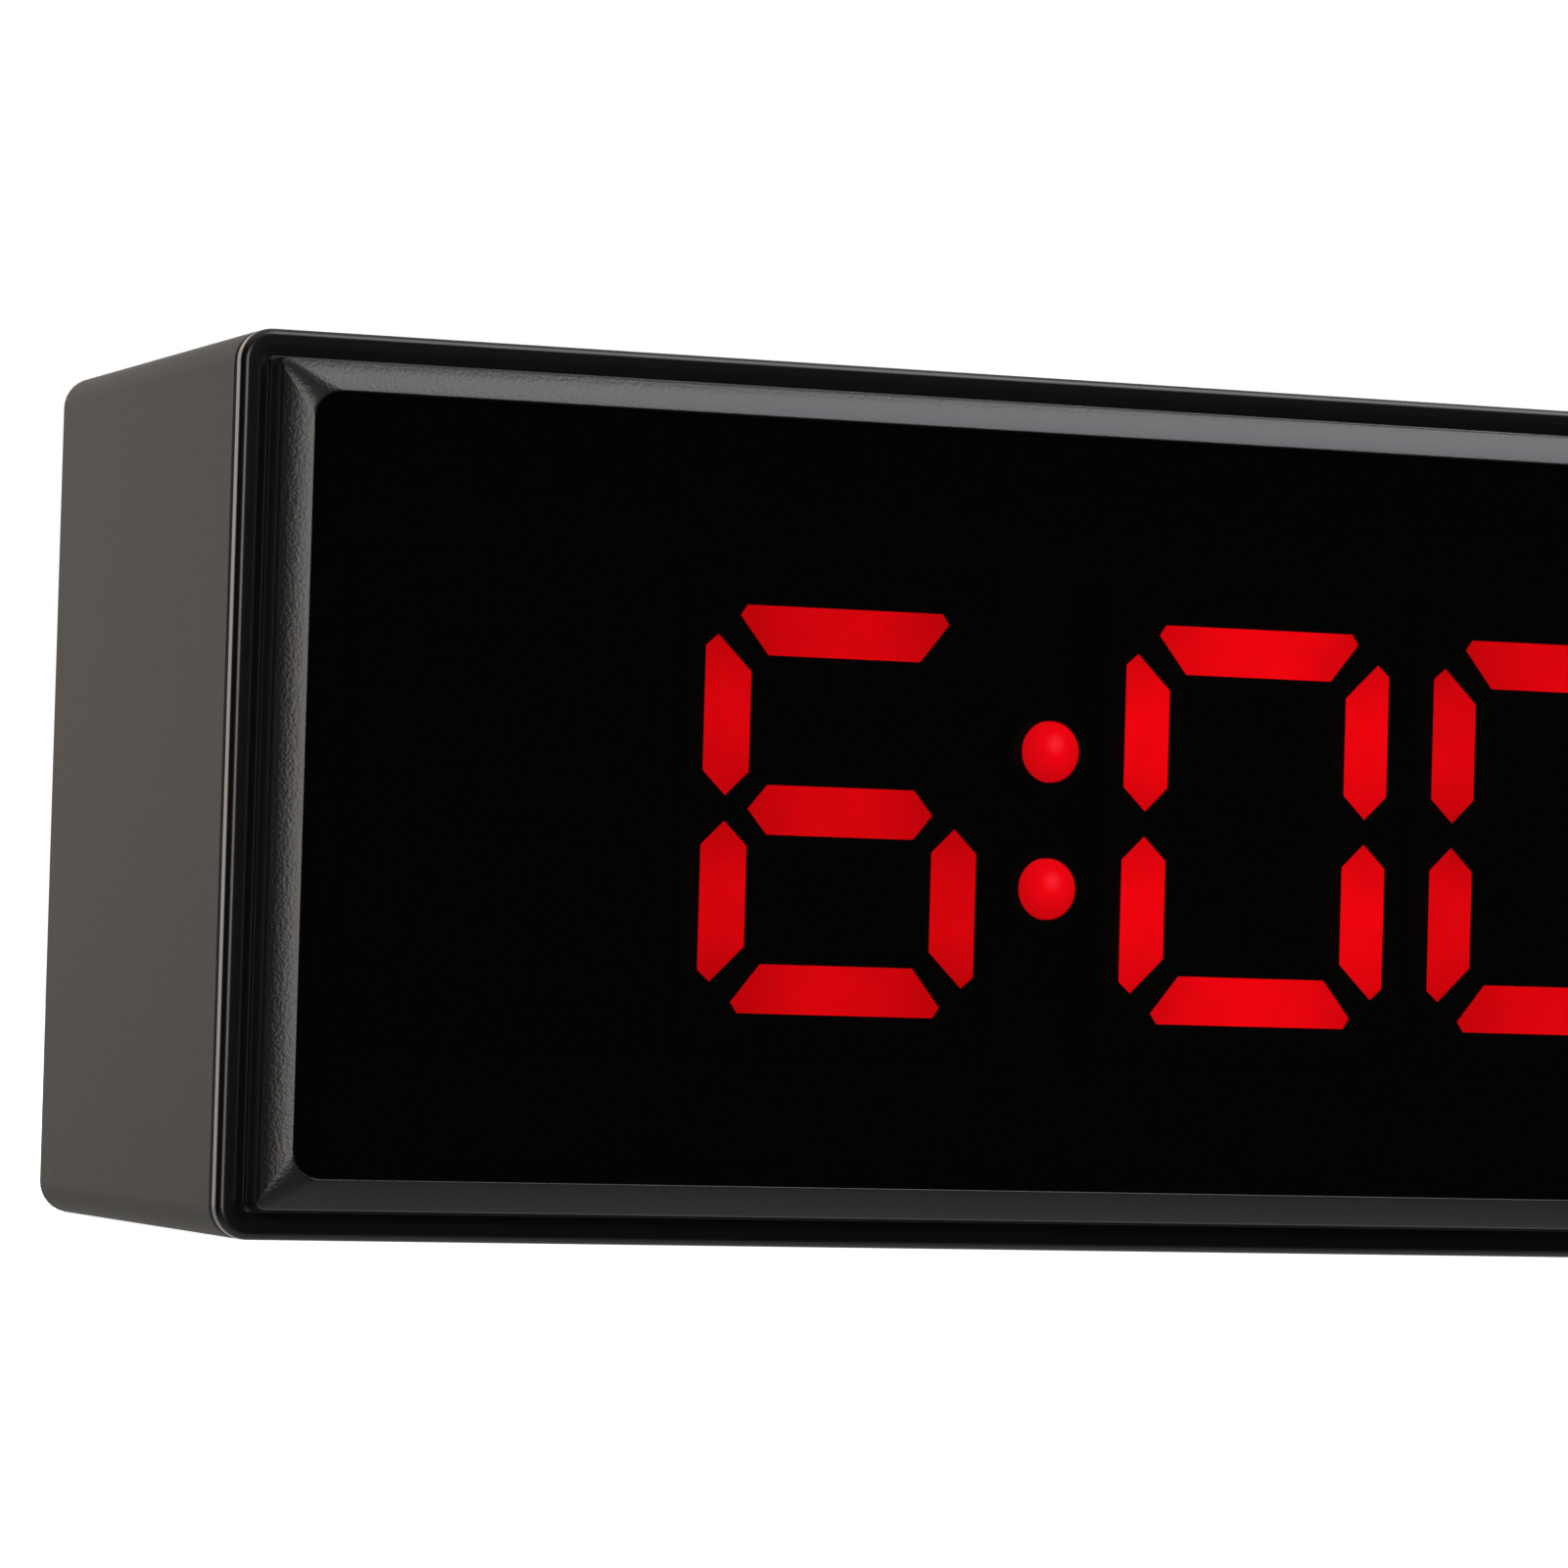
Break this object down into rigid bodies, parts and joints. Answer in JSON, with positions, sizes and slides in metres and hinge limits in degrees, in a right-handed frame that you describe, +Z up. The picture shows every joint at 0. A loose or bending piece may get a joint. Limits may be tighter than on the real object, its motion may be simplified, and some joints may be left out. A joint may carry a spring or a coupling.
{
  "type": "gym round timer",
  "caption": "Box-shaped LED round timer for a gym wall or shelf, with a raised bezel round a smoked window, side buttons and keyhole slots in the back.",
  "frame": {"origin": "middle of the flat base that the timer stands on", "axes": "+X to the right of the display, +Y from the display to the back, +Z up"},
  "size_m": [0.2465, 0.1017, 0.124],
  "materials": {
    "housing_abs": "fine moulded texture, matte",
    "bezel_abs": "semi-gloss moulding",
    "smoked_acrylic": "polished smoked sheet",
    "foam_tape": "black foam tape",
    "plated_steel": "zinc plated",
    "brass": "turned",
    "black_abs": "moulded black",
    "laminate": "solder mask",
    "tinned_wire": "tinned",
    "red_lens": "tinted diffusing epoxy",
    "dark_epoxy": "moulded epoxy",
    "grey_pvc": "flat cable sleeve",
    "aluminium_can": "drawn can",
    "anodised_aluminium": "black anodised",
    "black_nylon": "moulded nylon",
    "ferrite": "sintered ferrite",
    "paper": "pressed paper pulp",
    "red_pvc": "insulated wire",
    "digit_shell": "black printed face",
    "button_rubber": "moulded silicone"
  },
  "bodies": {
    "case": {"housing": "housing_abs", "front_bezel": "bezel_abs", "window": "smoked_acrylic", "window_tape": "foam_tape", "case_screws": "plated_steel", "case_inserts": "brass", "display_frame": "black_abs", "display_board": "laminate", "digit_pins": "tinned_wire", "colon_leds": "red_lens", "colon_spacers": "black_abs", "ir_receiver": "dark_epoxy", "board_screws": "plated_steel", "driver_chips": "dark_epoxy", "display_header": "black_abs", "ribbon_cable": "grey_pvc", "control_header": "black_abs", "control_board": "laminate", "control_board_screws": "plated_steel", "controller_chip": "dark_epoxy", "capacitors": "aluminium_can", "regulator": "dark_epoxy", "heat_sink": "anodised_aluminium", "key_switches": "dark_epoxy", "volume_switch_body": "plated_steel", "rocker_body": "black_nylon", "rocker_tags": "tinned_wire", "jack_body": "black_nylon", "jack_pin": "plated_steel", "jack_nut": "plated_steel", "jack_tags": "tinned_wire", "speaker_basket": "plated_steel", "speaker_magnet": "ferrite", "speaker_cone": "paper", "voice_coil": "aluminium_can", "speaker_screws": "plated_steel", "speaker_leads": "red_pvc", "digit_case_1": "digit_shell", "digit_segments_1": "red_lens", "digit_case_2": "digit_shell", "digit_segments_2": "red_lens", "digit_case_3": "digit_shell", "digit_segments_3": "red_lens", "digit_case_4": "digit_shell", "digit_segments_4": "red_lens"},
    "volume_slide": {"volume_slider": "black_abs"},
    "power_rocker": {"rocker": "black_nylon"},
    "start_key": {"start_button": "button_rubber", "start_plunger": "black_abs"},
    "reset_key": {"reset_button": "button_rubber", "reset_plunger": "black_abs"},
    "round_key": {"round_button": "button_rubber", "round_plunger": "black_abs"},
    "rest_key": {"rest_button": "button_rubber", "rest_plunger": "black_abs"}
  },
  "joints": [
    {"name": "start_press", "type": "slide", "parent": "case", "child": "start_key", "axis": [-1, 0, 0], "range_m": [0, 0.0008], "stiffness_N_per_m": 2000, "springref_m": -0.0001},
    {"name": "reset_press", "type": "slide", "parent": "case", "child": "reset_key", "axis": [-1, 0, 0], "range_m": [0, 0.0008], "stiffness_N_per_m": 2000, "springref_m": -0.0001},
    {"name": "round_press", "type": "slide", "parent": "case", "child": "round_key", "axis": [-1, 0, 0], "range_m": [0, 0.0008], "stiffness_N_per_m": 2000, "springref_m": -0.0001},
    {"name": "rest_press", "type": "slide", "parent": "case", "child": "rest_key", "axis": [-1, 0, 0], "range_m": [0, 0.0008], "stiffness_N_per_m": 2000, "springref_m": -0.0001},
    {"name": "volume_set", "type": "slide", "parent": "case", "child": "volume_slide", "axis": [0, 0, 1], "range_m": [-0.002, 0.002]},
    {"name": "power_rock", "type": "hinge", "parent": "case", "child": "power_rocker", "pos_m": [0.1205, 0.022, 0.092], "axis": [0, 1, 0], "range_deg": [-22, 0]}
  ]
}
